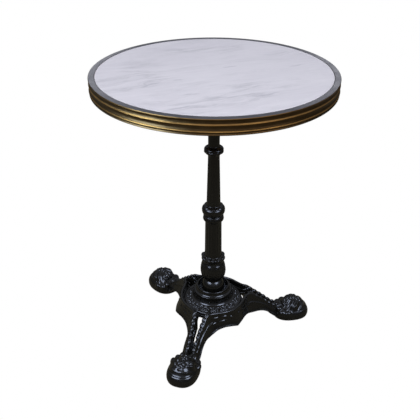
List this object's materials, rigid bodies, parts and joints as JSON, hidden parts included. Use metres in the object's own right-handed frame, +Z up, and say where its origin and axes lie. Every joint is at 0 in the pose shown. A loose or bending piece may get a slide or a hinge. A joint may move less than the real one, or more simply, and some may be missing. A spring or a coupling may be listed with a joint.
{
  "type": "bistro table",
  "caption": "Round pedestal bistro table: marble top in a fluted brass rim, ornate black cast-iron column, scroll-paw tripod base with levelling glides.",
  "frame": {"origin": "on the floor, under the middle of the column, with the levelling glides screwed right in", "axes": "+Z up along the column; the front leg points along -Y and the other two point 120 degrees either side of it"},
  "size_m": [0.6, 0.6, 0.76],
  "materials": {
    "marble": "polished",
    "antique_brass": "satin",
    "core_wood": "matte",
    "plywood": "matte",
    "black_iron": "gloss",
    "zinc_steel": "satin",
    "black_nylon": "matte"
  },
  "bodies": {
    "table": {"marble_slab": "marble", "brass_rim": "antique_brass", "rim_core_ring": "core_wood", "backing_board": "plywood", "rim_pins": "antique_brass", "mounting_spider": "black_iron", "spider_screws": "zinc_steel", "tie_rod": "zinc_steel", "rod_top_nut": "zinc_steel", "rod_top_washer": "zinc_steel", "upper_column": "black_iron", "lower_column": "black_iron", "base_rosette": "black_iron", "tripod_base": "black_iron", "base_washer": "zinc_steel", "base_nut": "zinc_steel"},
    "glide_front": {"glide_stud_front": "zinc_steel", "glide_pad_front": "black_nylon"},
    "glide_right": {"glide_stud_right": "zinc_steel", "glide_pad_right": "black_nylon"},
    "glide_left": {"glide_stud_left": "zinc_steel", "glide_pad_left": "black_nylon"}
  },
  "joints": [
    {"name": "glide_front_screw_out", "type": "slide", "parent": "table", "child": "glide_front", "axis": [0, 0, -1], "range_m": [0, 0.008]},
    {"name": "glide_right_screw_out", "type": "slide", "parent": "table", "child": "glide_right", "axis": [0, 0, -1], "range_m": [0, 0.008]},
    {"name": "glide_left_screw_out", "type": "slide", "parent": "table", "child": "glide_left", "axis": [0, 0, -1], "range_m": [0, 0.008]}
  ]
}
